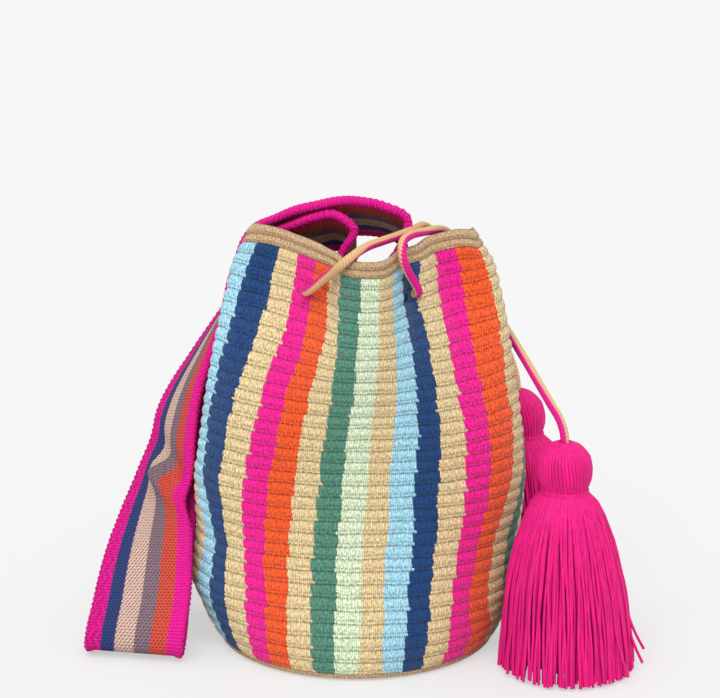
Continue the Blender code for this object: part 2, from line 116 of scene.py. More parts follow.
# the rim is lower at its two corners
CORNER_START = 66.0
CORNER_LENGTH = 22.0
CORNER_MIDDLE = 3.0
CORNER_FOOT = 290.0
LEFT_CORNER_DROP = 6.0
RIGHT_CORNER_DROP = 10.0


def smooth_curve(knots, values, at):
    """A smooth curve through the values at their knots, read at other places."""
    knots = np.asarray(knots, float)
    values = np.asarray(values, float)
    steps = np.diff(knots)[:, None]
    slopes = np.diff(values, axis=0) / steps
    middle = (slopes[:-1] * steps[1:] + slopes[1:] * steps[:-1]) / (steps[:-1] + steps[1:])
    tangents = np.vstack([slopes[:1], middle, slopes[-1:]])
    index = np.clip(np.searchsorted(knots, at, side="right") - 1, 0, len(knots) - 2)
    width = (knots[index + 1] - knots[index])[:, None]
    t = ((at - knots[index])[:, None]) / width
    first = values[index] * (2 * t**3 - 3 * t**2 + 1)
    second = values[index + 1] * (-2 * t**3 + 3 * t**2)
    lift = tangents[index] * width * (t**3 - 2 * t**2 + t)
    fall = tangents[index + 1] * width * (t**3 - t**2)
    return first + second + lift + fall


def running_length(points):
    points = np.asarray(points, float)
    return np.concatenate([[0.0], np.cumsum(np.linalg.norm(np.diff(points, axis=0), axis=1))])


def oval_round(half_width, half_depth, squareness, shift, front_stripe, at):
    """One round of the body seen from above, with the stripes spread evenly along it."""
    turn = np.linspace(-math.pi / 2, 1.5 * math.pi, 1441)
    power = 2 / squareness
    x = half_width * np.sign(np.cos(turn)) * np.abs(np.cos(turn)) ** power + shift
    y = half_depth * np.sign(np.sin(turn)) * np.abs(np.sin(turn)) ** power
    run = running_length(np.column_stack([x, y]))
    stripe = ((at - front_stripe) % STRIPES) / STRIPES * run[-1]
    return np.column_stack([np.interp(stripe, run, x), np.interp(stripe, run, y)])


def rim_outline(at):
    """The gathered rim: place and height above the base for each stripe position."""
    front = [RIM_FRONT_FIRST + number for number in range(len(RIM_FRONT))]
    run = running_length([point[:2] for point in RIM_BACK + RIM_FRONT[:1]])
    back = RIM_CORNER_STRIPE + run / run[-1] * (RIM_FRONT_FIRST + STRIPES - RIM_CORNER_STRIPE)
    knots = np.array(front + list(back[:-1]))
    points = np.array(RIM_FRONT + RIM_BACK, float)
    knots = np.concatenate([knots - STRIPES, knots, knots + STRIPES])
    return smooth_curve(knots, np.vstack([points, points, points]), at)


def wall_rounds(stripe, heights):
    """Each stripe position's place seen from above, at each height of the wall."""
    rim = rim_outline(stripe)[:, :2]
    rings = [oval_round(BASE_RADIUS, BASE_RADIUS, 2.0, 0.0, BASE_FRONT_STRIPE, stripe)]
    for _, width, depth, squareness, shift, front_stripe, mouth in SECTIONS:
        half_width = width * BELLY_HALF_WIDTH
        half_depth = depth * BELLY_HALF_DEPTH
        oval = oval_round(half_width, half_depth, squareness, shift, front_stripe, stripe)
        gathered = rim * np.array([half_width / MOUTH_HALF_WIDTH, 1.0])
        rings.append(oval * (1 - mouth) + gathered * mouth)
    rings.append(rim)
    knots = [0.0] + [section[0] for section in SECTIONS] + [BAG_HEIGHT]
    level = np.clip(heights, 0.0, BAG_HEIGHT)
    return np.stack([smooth_curve(knots, column, level) for column in np.stack(rings, axis=1)])


def wall_places(stripe, heights, offsets):
    """Places on the wall for each stripe position and height, pushed out by the offsets."""
    stripe = np.asarray(stripe, float)
    heights = np.asarray(heights, float)
    along = wall_rounds(stripe + SIDE_STEP, heights) - wall_rounds(stripe - SIDE_STEP, heights)
    outward = np.stack([along[..., 1], -along[..., 0]], axis=-1)
    outward /= np.linalg.norm(outward, axis=-1, keepdims=True)
    flat = wall_rounds(stripe, heights) + outward * np.asarray(offsets, float)[..., None]
    drop = (BAG_HEIGHT - rim_outline(stripe)[:, 2])[:, None]
    level = heights[None, :] - drop * np.clip(heights / BAG_HEIGHT, 0, 1)[None, :] ** 2
    return np.concatenate([flat, level[..., None]], axis=-1)


# The belly is a little fuller than the plain oval: height, then left and right in millimetres
FULLNESS = np.array((
    (0, 1, 0), (14, 6, 3), (49, 12.5, 6), (89, 1.5, -1.5), (136, 4.5, 1), (175, 2.5, 1),
    (216, 3.5, 1), (257, 3.5, 1.5), (297, 2.5, -0.5), (327, -6, -8)), float)

# How far the stripes wander from even spacing, since each one follows the stitches below it:
# height, then the drift in stripe widths at each of the DRIFT_AT positions round the front.
# These values were fitted outside this script to stripe edges measured in the photograph.
DRIFT_AT = (-12.0, -7.5, -6.0, -4.5, -3.0, -1.5, 0.0, 1.5, 3.0, 4.5, 6.0, 7.5, 9.0, 14.0)
STRIPE_DRIFT = (
    (25, -0.90, -0.72, -0.53, -0.33, -0.09, 0.03, 0.15, 0.47, 0.57, 0.43, 0.02, -0.37),
    (49, -0.90, -0.80, -0.70, -0.51, -0.19, -0.02, 0.13, 0.40, 0.61, 0.87, 0.90, 0.90),
    (89, -0.90, -0.71, -0.08, 0.04, 0.08, 0.12, 0.19, 0.19, 0.21, 0.38, 0.63, 0.87),
    (136, 0.38, 0.32, 0.23, 0.10, 0.08, 0.12, 0.21, 0.28, 0.21, -0.05, -0.25, -0.35),
    (175, 0.90, 0.46, 0.19, 0.07, 0.06, 0.14, 0.21, 0.22, 0.23, 0.00, -0.44, -0.87),
    (216, 0.74, 0.31, -0.01, -0.07, -0.06, 0.05, 0.21, 0.34, 0.45, 0.28, -0.15, -0.59),
    (257, 0.53, 0.14, -0.21, -0.26, -0.16, 0.10, 0.35, 0.52, 0.60, 0.34, -0.06, -0.46),
    (297, 0.15, 0.01, -0.13, 0.05, 0.25, 0.11, 0.47, 0.61, 0.36, 0.19, 0.08, -0.04),
    (326, -0.18, -0.09, -0.01, 0.01, 0.01, -0.01, -0.04, -0.05, -0.06, -0.04, -0.03, -0.02),
)


def bent_grid(shape, places, uvs):
    """A grid bent to the places, one for each (column, row), and joined along its seam."""
    layer = shape.loops.layers.uv.get("UVMap") or shape.loops.layers.uv.new("UVMap")
    across, along = places.shape[0] - 1, places.shape[1] - 1
    made = bmesh.ops.create_grid(shape, x_segments=across, y_segments=along, size=0.5)
    for vert in made["verts"]:
        column = round((vert.co.x + 0.5) * across)
        row = round((vert.co.y + 0.5) * along)
        for loop in vert.link_loops:
            loop[layer].uv = uvs[column, row]
        vert.co = Vector(places[column, row]) * MM
    bmesh.ops.remove_doubles(shape, verts=made["verts"], dist=2e-6)


def finished(name, shape, finish):
    """The bent shape as an object in the scene, with its faces pointing outwards."""
    bmesh.ops.recalc_face_normals(shape, faces=shape.faces)
    mesh = bpy.data.meshes.new(name)
    shape.to_mesh(mesh)
    shape.free()
    mesh.shade_smooth()
    mesh.materials.append(finish)
    piece = bpy.data.objects.new(name, mesh)
    bpy.context.scene.collection.objects.link(piece)
    return piece


def srgb(code):
    """Linear colour of an sRGB hex value."""
    parts = [int(code[place:place + 2], 16) / 255 for place in (1, 3, 5)]
    return (*(p / 12.92 if p <= 0.04045 else ((p + 0.055) / 1.055) ** 2.4 for p in parts), 1.0)


def add_node(tree, kind, *values, out=0, named=None, stops=(), stepped=False, **settings):
    """Adds a node with its settings, feeds its inputs in order or by name, gives an output.

    A colour ramp's stops are places with a hex colour or a level of grey, blended or in steps.
    """
    node = tree.nodes.new(kind)
    for name, value in settings.items():
        setattr(node, name, value)
    if stepped:
        node.color_ramp.interpolation = "CONSTANT"
    for number, (place, tone) in enumerate(stops):
        elements = node.color_ramp.elements
        stop = elements[number] if number < 2 else elements.new(place)
        stop.position = place
        stop.color = srgb(tone) if isinstance(tone, str) else (tone, tone, tone, 1.0)
    for key, value in [*enumerate(values), *(named or {}).items()]:
        if isinstance(value, bpy.types.NodeSocket):
            tree.links.new(value, node.inputs[key])
        else:
            node.inputs[key].default_value = value
    return node.outputs[out]


MATHS = "ShaderNodeMath"
stripe_at = np.linspace(0, STRIPES, COLUMNS + 1)
levels = []  # kind, height or share of the radius, how far the yarn stands out, round number
for number in range(BASE_ROUNDS * 2):
    share = number / (BASE_ROUNDS * 2)
    levels.append(("base", share, 0.1 if number % 2 else 0.9, -1 - BASE_ROUNDS * (1 - share)))
levels.append(("wall", 0.0, -BASE_CORNER, -0.75))
levels.append(("wall", 0.4 * BASE_EDGE_HEIGHT, RIDGE, -0.5))
for row in range(ROWS):
    for share, stand in ROUND_PROFILE:
        levels.append(("wall", BASE_EDGE_HEIGHT + (row + share) * ROW_HEIGHT, stand, row + share))
for row in range(RIM_ROWS):
    for share, stand in RIM_PROFILE:
        levels.append(("wall", RIM_FOOT + (row + share) * RIM_ROW_HEIGHT, stand, ROWS + row + share))
levels.append(("wall", BAG_HEIGHT, -0.8, ROWS + RIM_ROWS))
levels.append(("wall", BAG_HEIGHT - 1.0, -2.2, ROWS + RIM_ROWS + 0.2))
levels.append(("inside", BAG_HEIGHT - 0.5 * RIM_ROW_HEIGHT, -YARN_WALL, ROWS + RIM_ROWS - 0.5))
for row in [33.0, 32.0, 31.5, 31.0, 30.75, 30.5, 30.25, 30.0, *np.arange(29.5, 0.4, -1.0)]:
    levels.append(("inside", BASE_EDGE_HEIGHT + row * ROW_HEIGHT, -YARN_WALL, row))
for share in (0.92, 0.6, 0.3, 0.0):
    levels.append(("floor", share, 4.0, -12 * share))

heights = np.array([height if kind in ("wall", "inside") else 0.0 for kind, height, _, _ in levels])
offsets = np.zeros((COLUMNS + 1, len(levels)))
waver = np.zeros((COLUMNS + 1, len(levels)))
for index, (kind, _, stand, row) in enumerate(levels):
    if kind not in ("wall", "inside"):
        continue
    for column in range(COLUMNS):
        turn = 2 * math.pi * column / COLUMNS
        offsets[column, index] = stand
        if kind == "wall" and row >= 0:
            # yarn stands out more at some stitches, and each round wavers a little in height
            tight = Vector((11 * math.cos(turn), 11 * math.sin(turn), 0.9 * math.floor(row)))
            offsets[column, index] += 0.6 * noise.noise(tight)
            loose = Vector((5 * math.cos(turn), 5 * math.sin(turn), 0.35 * row + 40))
            waver[column, index] = 0.9 * noise.noise(loose) * min(1, row / 3)
        if kind == "wall" and row >= ROWS:
            twist = 2 * math.pi * (stripe_at[column] * 5 + (row - ROWS) * 0.5)
            offsets[column, index] += 0.35 * math.cos(twist)
places = wall_places(stripe_at, heights, offsets)
places[..., 2] += waver
half_width = np.abs(places[..., 0]).max(axis=0)
left_share = np.clip(-places[..., 0] / half_width, 0, 1)
right_share = np.clip(places[..., 0] / half_width, 0, 1)
places[..., 0] -= left_share * np.interp(heights, FULLNESS[:, 0], FULLNESS[:, 1])
places[..., 0] += right_share * np.interp(heights, FULLNESS[:, 0], FULLNESS[:, 2])
near_corner = (np.abs(places[..., 0] - CORNER_MIDDLE) - CORNER_START) / CORNER_LENGTH
near_corner = np.clip(near_corner, 0, 1) ** 2
near_rim = np.clip((heights - CORNER_FOOT) / (FULLNESS[-1, 0] - CORNER_FOOT), 0, 1)
corner_drop = np.where(places[..., 0] > 0, RIGHT_CORNER_DROP, LEFT_CORNER_DROP)
places[..., 2] -= corner_drop * near_corner * near_rim
edge = wall_places(stripe_at, [0.0], np.full((COLUMNS + 1, 1), -BASE_CORNER))[:, 0, :2]
for index, (kind, share, rise, _) in enumerate(levels):
    if kind in ("base", "floor"):
        places[:, index, :2] = edge * share
        places[:, index, 2] = rise
places[-1] = places[0]
bag_uvs = np.zeros((COLUMNS + 1, len(levels), 2))
bag_uvs[..., 0] = stripe_at[:, None]
bag_uvs[..., 1] = [level[3] for level in levels]
drift_rows = np.array([(0, *row[1:], 0) for row in STRIPE_DRIFT], float)
drift = smooth_curve([row[0] for row in STRIPE_DRIFT], drift_rows, np.clip(heights, 25, 326))
front_at = (stripe_at + 18) % STRIPES - 18
for index in range(len(levels)):
    bag_uvs[:, index, 0] += np.interp(front_at, DRIFT_AT, drift[index])
bag_shape = bmesh.new()
bent_grid(bag_shape, places, bag_uvs)

# the six eyelets are skipped stitches: the wall is opened there and the edges are joined
layer = bag_shape.loops.layers.uv["UVMap"]
for stripe, width in EYELETS:
    gone = []
    for face in bag_shape.faces:
        middle = sum((loop[layer].uv for loop in face.loops), Vector((0, 0))) / len(face.loops)
        across = (middle.x - stripe) % STRIPES
        if 0.1 * width < across < 0.9 * width and EYELET_ROW + 0.1 < middle.y < EYELET_ROW + 0.8:
            gone.append(face)
    bmesh.ops.delete(bag_shape, geom=gone, context="FACES")
    hole = [edge for edge in bag_shape.edges if edge.is_boundary]
    bmesh.ops.bridge_loops(bag_shape, edges=hole)

# Mercerised cotton yarn in single crochet: matt, with fine upright strands on each ridge
# and a row of small loops on top of it.
weave = bpy.data.materials.new("single_crochet_cotton")
weave.use_nodes = True
tree = weave.node_tree
shader = tree.nodes["Principled BSDF"]
uv = add_node(tree, "ShaderNodeUVMap", uv_map="UVMap")
stripe_u = add_node(tree, "ShaderNodeSeparateXYZ", uv)
round_v = stripe_u.node.outputs["Y"]
round_number = add_node(tree, MATHS, round_v, operation="FLOOR")
round_share = add_node(tree, MATHS, round_v, operation="FRACT")
edge_number = add_node(tree, MATHS, stripe_u, operation="ROUND")
edge_key = add_node(tree, "ShaderNodeCombineXYZ", edge_number, round_number)
chance = add_node(tree, "ShaderNodeTexWhiteNoise", noise_dimensions="2D", named={"Vector": edge_key})
jog = add_node(tree, MATHS, chance, 0.10, -0.05, operation="MULTIPLY_ADD")
# at the loops on each round's foot the paler yarn laps over the darker one beside it
edge_kind = add_node(tree, MATHS, edge_number, 36.3, operation="ADD")
edge_kind = add_node(tree, MATHS, edge_kind, 9.0, operation="DIVIDE")
edge_kind = add_node(tree, MATHS, edge_kind, operation="FRACT")
LAPS = (1.0, 0.5, 0.8, 0.0, 0.9, 0.1, 0.4, 0.8, 0.1)
laps = add_node(tree, "ShaderNodeValToRGB", edge_kind, stepped=True,
                stops=[(number / len(LAPS), lap) for number, lap in enumerate(LAPS)])
lap_size = add_node(tree, MATHS, laps, 0.09, -0.045, operation="MULTIPLY_ADD")
lap_size = add_node(tree, MATHS, lap_size, jog, operation="ADD")
near_loops = add_node(tree, MATHS, round_share, 0.13, operation="SUBTRACT")
near_loops = add_node(tree, MATHS, near_loops, operation="ABSOLUTE")
near_loops = add_node(tree, MATHS, near_loops, -9.0, 1.9, operation="MULTIPLY_ADD", use_clamp=True)
tip = add_node(tree, MATHS, near_loops, lap_size, operation="MULTIPLY")
lean = add_node(tree, MATHS, round_share, 0.06, -0.03, operation="MULTIPLY_ADD")
# the yarn's strands are drawn 1.5 mm wide, where the real ones of about 1 mm would not show
yarn_u = add_node(tree, MATHS, stripe_u, 12.0, operation="MULTIPLY")
yarn_v = add_node(tree, MATHS, round_v, 4.0, operation="MULTIPLY")
yarn_place = add_node(tree, "ShaderNodeCombineXYZ", yarn_u, yarn_v)
fuzz = add_node(tree, "ShaderNodeTexNoise", noise_dimensions="2D",
                named={"Vector": yarn_place, "Scale": 1.0, "Detail": 3.0, "Roughness": 0.75})
wander = add_node(tree, MATHS, fuzz, 0.14, -0.07, operation="MULTIPLY_ADD")
place_u = add_node(tree, MATHS, stripe_u, float(STRIPES), operation="ADD")
for shift in (jog, lean, tip, wander):
    place_u = add_node(tree, MATHS, place_u, shift, operation="ADD")
cycle = add_node(tree, MATHS, place_u, 9.0, operation="DIVIDE")
cycle = add_node(tree, MATHS, cycle, operation="FRACT")
BEIGE = "#EAD09C"
STRIPE_YARNS = ("#E0F0CC", BEIGE, "#AAE0F3", "#0F427A", BEIGE, "#FA0A95", "#FB5A21", BEIGE, "#568F79")
stripes = add_node(tree, "ShaderNodeValToRGB", cycle, stepped=True,
                   stops=[(number / 9, yarn) for number, yarn in enumerate(STRIPE_YARNS)])
above = add_node(tree, MATHS, round_v, float(ROWS), operation="GREATER_THAN")
below = add_node(tree, MATHS, round_v, 0.0, operation="LESS_THAN")
plain = add_node(tree, MATHS, above, below, operation="MAXIMUM")
yarn_colour = add_node(tree, "ShaderNodeMix", data_type="RGBA", out=2,
                       named={0: plain, 6: stripes, 7: srgb("#DAB488")})
# up each ridge, painted light and shade: painted shade in the crease and on a dark dotted line, a
# painted highlight on the pale line of loops, then the upright strands
crooked = add_node(tree, MATHS, fuzz, 0.16, -0.08, operation="MULTIPLY_ADD")
crooked = add_node(tree, MATHS, crooked, round_share, operation="ADD")
ridge_light_and_shade = add_node(tree, "ShaderNodeValToRGB", crooked,
                    stops=((0.0, 0.82), (0.05, 0.90), (0.12, 1.12), (0.20, 1.06), (0.27, 0.86),
                           (0.36, 0.96), (0.60, 1.04), (0.90, 0.95), (1.0, 0.82)))
strand_place = add_node(tree, MATHS, fuzz, 2.2, operation="MULTIPLY")
strand_place = add_node(tree, MATHS, yarn_u, strand_place, operation="ADD")
rim_slant = add_node(tree, MATHS, plain, round_share, operation="MULTIPLY")
strand_place = add_node(tree, MATHS, rim_slant, 1.6, strand_place, operation="MULTIPLY_ADD")
strand_turn = add_node(tree, MATHS, strand_place, 2 * math.pi, operation="MULTIPLY")
strand_wave = add_node(tree, MATHS, strand_turn, operation="COSINE")
# painted shade in the grooves between the yarn's strands, deeper on the rim and the base
strand_shade_depth = add_node(tree, MATHS, plain, 0.10, 0.16, operation="MULTIPLY_ADD")
strand_groove_shade = add_node(tree, MATHS, strand_wave, strand_shade_depth, 0.90, operation="MULTIPLY_ADD")
mottle = add_node(tree, MATHS, fuzz, 2.4, -0.22, operation="MULTIPLY_ADD")
light = add_node(tree, MATHS, strand_groove_shade, mottle, operation="MULTIPLY")
light = add_node(tree, MATHS, light, ridge_light_and_shade, operation="MULTIPLY")
# painted shade: two lines of dark dots on each round, in the crease and below the front loops, where
# shade falls between the stitches
shade_dot_lines = add_node(tree, "ShaderNodeValToRGB", crooked,
                  stops=((0.0, 0.66), (0.05, 0.58), (0.11, 0.0), (0.30, 0.0), (0.37, 0.45),
                         (0.44, 0.0), (0.93, 0.0), (1.0, 0.66)))
dots = add_node(tree, MATHS, strand_wave, -0.5, 0.5, operation="MULTIPLY_ADD")
dots = add_node(tree, MATHS, dots, shade_dot_lines, operation="MULTIPLY")
dots = add_node(tree, MATHS, dots, -1.0, 1.0, operation="MULTIPLY_ADD")
light = add_node(tree, MATHS, light, dots, operation="MULTIPLY")
grey = add_node(tree, "ShaderNodeCombineColor", light, light, light)
shaded = add_node(tree, "ShaderNodeMix", data_type="RGBA", blend_type="MULTIPLY", out=2,
                  named={0: 1.0, 6: yarn_colour, 7: grey})
tree.links.new(shaded, shader.inputs["Base Color"])
bump = add_node(tree, "ShaderNodeBump", named={"Height": light, "Strength": 0.8, "Distance": 0.0010})
tree.links.new(bump, shader.inputs["Normal"])
shader.inputs["Roughness"].default_value = 0.92
shader.inputs["Specular IOR Level"].default_value = 0.25
shader.inputs["Sheen Weight"].default_value = 0.15
shader.inputs["Sheen Roughness"].default_value = 0.5
bag = finished("crocheted_bag", bag_shape, weave)
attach(bag, "root")
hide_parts("bag_body")


# Drawstring: a limp round cord braided from beige and pink cotton, so one side of it is
# beige and the other pink, turning slowly. It runs through the six eyelets into two tassels.
CORD_DIAMETER = 6.6
CORD_GAP = 0.8
SEAT_GAP = 0.3
BALL_CROWN_DROP = 1.5
FRONT_CROWN = np.array([153.0, -73.0, 175.5])
FRONT_FOOT = np.array([158.0, -74.0, 0.0])
BACK_CROWN = np.array([127.0, 66.0, 176.0])
BACK_FOOT = np.array([150.0, 72.0, 0.0])
CORD_SIDES = 16
ROUTE_POINTS = 82
CORD_POINTS = 1000
SMOOTHING_TURNS = 12
KNOT_DEPTH = 64.0
KNOT_STEP = 6.0
# which way the pink half faces at places along the cord, as it lies in the photograph
PINK_FACES = (((153, -73, 172), (-1, -0.2, -0.6)), ((134, -24, 212), (-1, -0.3, -0.8)),
              ((90, 56, 268), (-0.4, -0.5, -1)), ((34, -16, 320), (0.2, -0.2, -1)),
              ((6, -58, 319), (0.5, 0.3, -1)), ((-7, -72, 313), (0.3, 1.0, -0.2)),
              ((-17, -62, 302), (-0.2, 0.8, 0.5)), ((-27, -50, 292), (-0.4, 0.5, 0.8)))
PINK_RETURNS = (((40, -50, 295), (1, -0.4, 0)), ((34, -57, 307), (1, -0.4, -0.2)),
                ((33, -49, 320), (0.8, -0.2, -0.6)), ((54, -4, 320), (0.3, 0.3, -1)),
                ((82, 64, 286), (-0.5, 0.3, -1)), ((121, 68, 202), (-1, 0, -0.3)))


def threaded(stripe, offset):
    """A place on the cord's round, level with the middle of the eyelets."""
    height = BASE_EDGE_HEIGHT + (EYELET_ROW + 0.5) * ROW_HEIGHT
    return wall_places([stripe], [height], [[offset]])[0, 0]


outside = RIDGE + CORD_DIAMETER / 2 + CORD_GAP
inside = -YARN_WALL - CORD_DIAMETER / 2 - CORD_GAP
end_gap = np.array([0.0, 0.0, SEAT_GAP - BALL_CROWN_DROP])
rise = np.array([0.0, 0.0, 7.0])
first, second, third, fourth, fifth, sixth = -3.25, -9.5, -15.5, -20.5, -26.5, -32.75
route = [
    FRONT_CROWN + end_gap, FRONT_CROWN + end_gap + rise,
    (146, -54, 195), (134, -24, 212), (122, 8, 228), (108, 34, 246),
    (90, 56, 268), (72, 64, 290), (60, 58, 305), (52, 38, 315),
    (44, 8, 319), (34, -16, 320), (20, -38, 320), (6, -58, 319),
    (-7, -72, 313), (-17, -62, 302), (-27, -50, 292),
    threaded(first + 0.25, outside + 4), threaded(first, outside), threaded(first, inside - 2),
    threaded(first - 1.75, inside - 3), threaded(first - 3.75, inside - 3),
    threaded(second + 0.8, inside - 3),
    threaded(second, inside - 1), threaded(second, outside + 1),
    threaded(second - 1.0, outside + 4), threaded(second - 2.1, outside + 3),
    threaded(second - 3.7, outside + 2), threaded(third + 0.6, outside + 2),
    threaded(third, outside), threaded(third, inside - 1),
    threaded(third - 1.5, inside - 3), threaded(third - 2.5, inside - 4),
    threaded(fourth + 1.3, inside - 3),
    threaded(fourth, inside - 1), threaded(fourth, outside),
    threaded(fourth - 1.7, outside + 2), threaded(fourth - 3.5, outside + 2),
    threaded(fifth + 0.7, outside + 2),
    threaded(fifth, outside + 1), threaded(fifth, inside - 1),
    threaded(fifth - 1.8, inside - 2), threaded(fifth - 4.0, inside - 3),
    threaded(sixth + 0.75, inside - 3), threaded(sixth, inside), threaded(sixth, outside),
    (40, -50, 295), (34, -57, 307), (33, -49, 320),
    (42, -26, 322), (54, -4, 320), (63, 20, 316), (72, 44, 307),
    (82, 64, 286), (96, 72, 256), (110, 72, 226), (121, 68, 202),
    BACK_CROWN + end_gap + rise, BACK_CROWN + end_gap,
]
route = np.array(route, float)
route_run = running_length(route)
cord_at = np.interp(np.linspace(0, len(route) - 1, ROUTE_POINTS), np.arange(len(route)), route_run)
coarse = smooth_curve(route_run, route, cord_at)
coarse_run = running_length(coarse)


def swept(line, around, radius):
    """Rings of places round a line, one for each point, and the two ways each ring faces."""
    line = np.asarray(line, float)
    heading = np.gradient(line, axis=0)
    heading /= np.linalg.norm(heading, axis=1)[:, None]
    side = np.cross(heading[0], (0.3, 0.8, 0.2))
    rings, sides = [], []
    for place, ahead in zip(line, heading):
        side = side - ahead * np.dot(side, ahead)
        side /= np.linalg.norm(side)
        up = np.cross(ahead, side)
        turn = np.linspace(0, 2 * math.pi, around + 1)
        ring = np.outer(np.cos(turn), side) * radius + np.outer(np.sin(turn), up) * radius
        rings.append(place + ring)
        sides.append((side, up))
    return np.stack(rings, axis=1), np.array(sides)


cord_line = smooth_curve(coarse_run, coarse, np.linspace(0, coarse_run[-1], CORD_POINTS))
# inside each tassel it runs on, to where the real cord is knotted below the neck
knot_depths = np.arange(KNOT_DEPTH, KNOT_STEP / 2, -KNOT_STEP)[:, None]
front_core = FRONT_CROWN + (FRONT_FOOT - FRONT_CROWN) * knot_depths / FRONT_CROWN[2]
back_core = BACK_CROWN + (BACK_FOOT - BACK_CROWN) * knot_depths / BACK_CROWN[2]
cord_line = np.vstack([front_core, cord_line, back_core[::-1]])
for _ in range(SMOOTHING_TURNS):
    cord_line[1:-1] = (cord_line[:-2] + 2 * cord_line[1:-1] + cord_line[2:]) / 4
cord_run = running_length(cord_line)
cord_line = smooth_curve(cord_run, cord_line, np.linspace(0, cord_run[-1], CORD_POINTS))
cord_run = running_length(cord_line)
cord_places, cord_sides = swept(cord_line, CORD_SIDES, CORD_DIAMETER / 2)
half = len(cord_line) // 2
pink_at, pink_turn = [], []
for places_faced, first_row, last_row in ((PINK_FACES, 0, half), (PINK_RETURNS, half, len(cord_line))):
    for place, faces in places_faced:
        gap = np.linalg.norm(cord_line[first_row:last_row] - place, axis=1)
        row = first_row + int(np.argmin(gap))
        side, up = cord_sides[row]
        pink_at.append(row)
        pink_turn.append(math.atan2(np.dot(faces, up), np.dot(faces, side)))
order = np.argsort(pink_at)
pink_turn = np.interp(np.arange(len(cord_line)), np.array(pink_at)[order],
                      np.unwrap(np.array(pink_turn)[order]))
cord_uvs = np.zeros((*cord_places.shape[:2], 2))
cord_uvs[..., 0] = np.linspace(0, 1, CORD_SIDES + 1)[:, None] - pink_turn[None, :] / (2 * math.pi)
cord_uvs[..., 1] = cord_run[None, :] / 10
cord_shape = bmesh.new()
bent_grid(cord_shape, cord_places, cord_uvs)
bmesh.ops.holes_fill(cord_shape, edges=cord_shape.edges, sides=CORD_SIDES + 2)

# Braided mercerised cotton: two colours lie side by side, with small slanting stitches.
braid = bpy.data.materials.new("braided_two_colour_cotton")
braid.use_nodes = True
tree = braid.node_tree
shader = tree.nodes["Principled BSDF"]
uv = add_node(tree, "ShaderNodeUVMap", uv_map="UVMap")
around = add_node(tree, "ShaderNodeSeparateXYZ", uv)
along = around.node.outputs["Y"]
turned = add_node(tree, MATHS, around, 0.70, operation="ADD")
teeth = add_node(tree, MATHS, along, 4.0, operation="MULTIPLY")
teeth = add_node(tree, MATHS, teeth, operation="FRACT")
teeth = add_node(tree, MATHS, teeth, 0.06, operation="MULTIPLY")
turned = add_node(tree, MATHS, turned, teeth, operation="ADD")
turned = add_node(tree, MATHS, turned, operation="FRACT")
second_yarn = add_node(tree, MATHS, turned, 0.47, operation="GREATER_THAN")
two_yarns = add_node(tree, "ShaderNodeMix", data_type="RGBA", out=2,
                     named={0: second_yarn, 6: srgb("#E0B581"), 7: srgb("#E0148C")})
# painted shade in the grooves between the braid's slanting stitches; the same wave is the bump
stitch_groove_shade = add_node(tree, MATHS, around, 4.0, operation="MULTIPLY")
stitch_groove_shade = add_node(tree, MATHS, along, 4.0, stitch_groove_shade, operation="MULTIPLY_ADD")
stitch_groove_shade = add_node(tree, MATHS, stitch_groove_shade, 2 * math.pi, operation="MULTIPLY")
stitch_groove_shade = add_node(tree, MATHS, stitch_groove_shade, operation="SINE")
stitch_groove_shade = add_node(tree, MATHS, stitch_groove_shade, 0.16, 0.84, operation="MULTIPLY_ADD")
grey = add_node(tree, "ShaderNodeCombineColor", stitch_groove_shade, stitch_groove_shade, stitch_groove_shade)
shaded = add_node(tree, "ShaderNodeMix", data_type="RGBA", blend_type="MULTIPLY", out=2,
                  named={0: 1.0, 6: two_yarns, 7: grey})
tree.links.new(shaded, shader.inputs["Base Color"])
bump = add_node(tree, "ShaderNodeBump", named={"Height": stitch_groove_shade, "Strength": 0.8, "Distance": 0.0006})
tree.links.new(bump, shader.inputs["Normal"])
shader.inputs["Roughness"].default_value = 0.85
shader.inputs["Specular IOR Level"].default_value = 0.3
cord = finished("braided_cord", cord_shape, braid)
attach(cord, "root")
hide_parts("drawstring")


